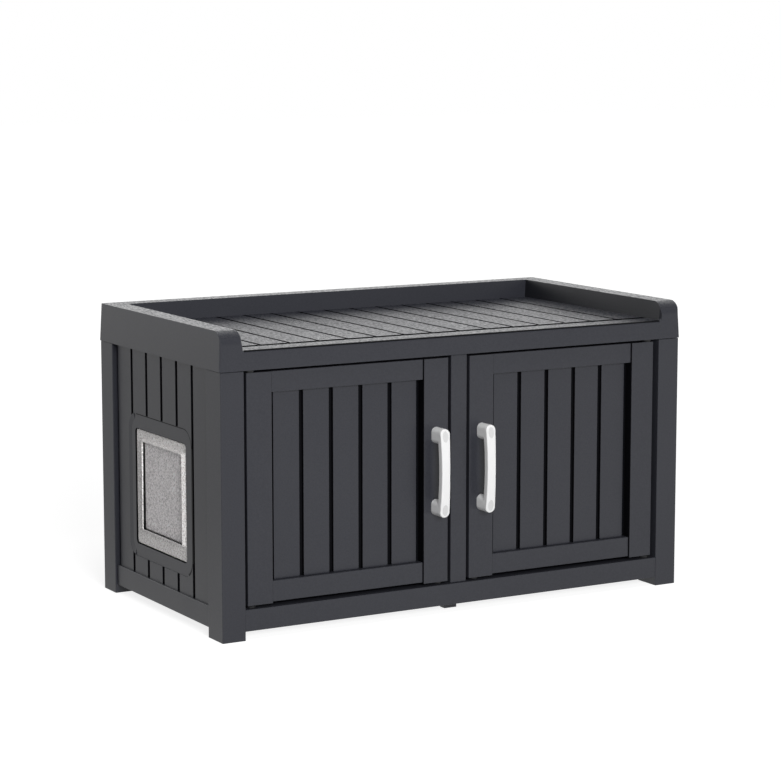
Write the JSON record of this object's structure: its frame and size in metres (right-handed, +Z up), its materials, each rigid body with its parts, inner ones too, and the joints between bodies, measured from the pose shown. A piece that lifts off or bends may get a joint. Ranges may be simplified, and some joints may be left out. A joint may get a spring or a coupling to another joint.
{
  "type": "litter box enclosure",
  "caption": "Resin cabinet that hides a litter tray, with panelled double doors, bow handles, a rimmed plank-pattern top and a framed swinging cat flap in its left side.",
  "frame": {"origin": "bottom centre of the whole object's box, on the floor under the middle of the cabinet", "axes": "+X to the viewer's right when facing the doors, +Y from the doors to the back, +Z up"},
  "size_m": [1.004, 0.5594, 0.5653],
  "materials": {
    "dark_resin": "fine leather-grain moulded polypropylene, dark grey",
    "light_grey_resin": "satin moulded plastic, light grey",
    "flap_resin": "fine speckled grain, light grey",
    "bush_resin": "smooth acetal, black",
    "seal_rubber": "matt black",
    "magnet": "nickel plated",
    "steel": "zinc plated"
  },
  "bodies": {
    "cabinet": {"back_header": "dark_resin", "back_panel": "dark_resin", "back_rail": "dark_resin", "centre_foot": "dark_resin", "centre_stile": "dark_resin", "flap_inner_frame": "light_grey_resin", "flap_outer_frame": "light_grey_resin", "flap_seal": "seal_rubber", "floor_panel": "dark_resin", "front_header": "dark_resin", "front_rail": "dark_resin", "left_catch": "dark_resin", "left_hinge_bushes": "bush_resin", "left_rail": "dark_resin", "left_side_panel": "dark_resin", "lid_tray": "dark_resin", "post_back_left": "dark_resin", "post_back_right": "dark_resin", "post_front_left": "dark_resin", "post_front_right": "dark_resin", "right_catch": "dark_resin", "right_hinge_bushes": "bush_resin", "right_rail": "dark_resin", "right_side_panel": "dark_resin", "sill_magnet": "magnet"},
    "left_door": {"left_door_bottom_rail": "dark_resin", "left_door_glide": "bush_resin", "left_door_handle_stile": "dark_resin", "left_door_hinge_stile": "dark_resin", "left_door_pins": "steel", "left_door_slat_panel": "dark_resin", "left_door_top_rail": "dark_resin", "left_handle": "light_grey_resin", "left_handle_screws": "steel", "left_strike_plate": "steel"},
    "right_door": {"right_door_bottom_rail": "dark_resin", "right_door_glide": "bush_resin", "right_door_handle_stile": "dark_resin", "right_door_hinge_stile": "dark_resin", "right_door_pins": "steel", "right_door_slat_panel": "dark_resin", "right_door_top_rail": "dark_resin", "right_handle": "light_grey_resin", "right_handle_screws": "steel", "right_strike_plate": "steel"},
    "cat_flap": {"cat_flap": "flap_resin", "flap_magnet": "magnet", "flap_pin": "steel"}
  },
  "joints": [
    {"name": "left_door_hinge", "type": "hinge", "parent": "cabinet", "child": "left_door", "pos_m": [-0.4352, -0.23225, 0.2746], "axis": [0, 0, -1], "range_deg": [0, 105]},
    {"name": "right_door_hinge", "type": "hinge", "parent": "cabinet", "child": "right_door", "pos_m": [0.4352, -0.23225, 0.2746], "axis": [0, 0, 1], "range_deg": [0, 105]},
    {"name": "cat_flap_swing", "type": "hinge", "parent": "cabinet", "child": "cat_flap", "pos_m": [-0.4853, 0.01825, 0.3083], "axis": [0, 1, 0], "range_deg": [-65, 65]}
  ]
}
